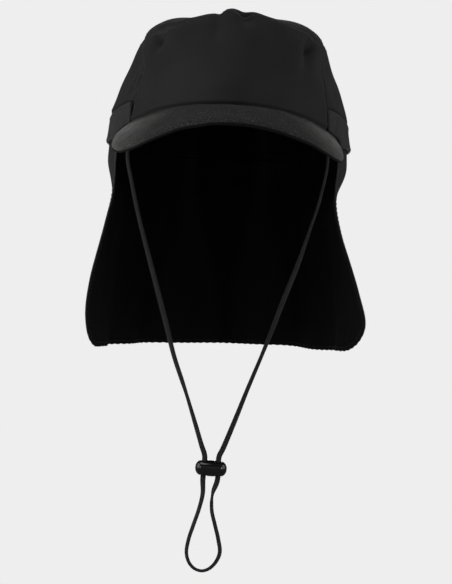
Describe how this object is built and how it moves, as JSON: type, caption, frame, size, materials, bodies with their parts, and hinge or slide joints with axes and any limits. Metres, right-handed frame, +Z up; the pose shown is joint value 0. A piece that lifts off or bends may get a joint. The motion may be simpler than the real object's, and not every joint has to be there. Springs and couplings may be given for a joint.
{
  "type": "legionnaire cap",
  "caption": "Soft sun cap with a curved foam peak, a flap over the neck and ears, and a chin cord with a sliding stopper, held as on a head.",
  "frame": {"origin": "centre of the head opening, level with the lower edge of the side band", "axes": "+Z up through the crown, -Y towards the peak, +X towards the wearer's left"},
  "size_m": [0.1863, 0.2742, 0.375],
  "materials": {
    "nylon": "matt woven nylon",
    "foam": "matt fine-grained cloth over soft foam",
    "cord": "matt braid",
    "plastic": "glossy"
  },
  "bodies": {
    "root": {"crown_front": "nylon", "crown_top": "nylon", "crown_side_left": "nylon", "crown_side_right": "nylon", "side_band": "nylon", "peak": "foam", "neck_flap": "nylon", "cord_tab_left": "nylon", "cord_tab_right": "nylon", "chin_cord": "cord", "cord_stopper": "plastic"}
  },
  "joints": []
}
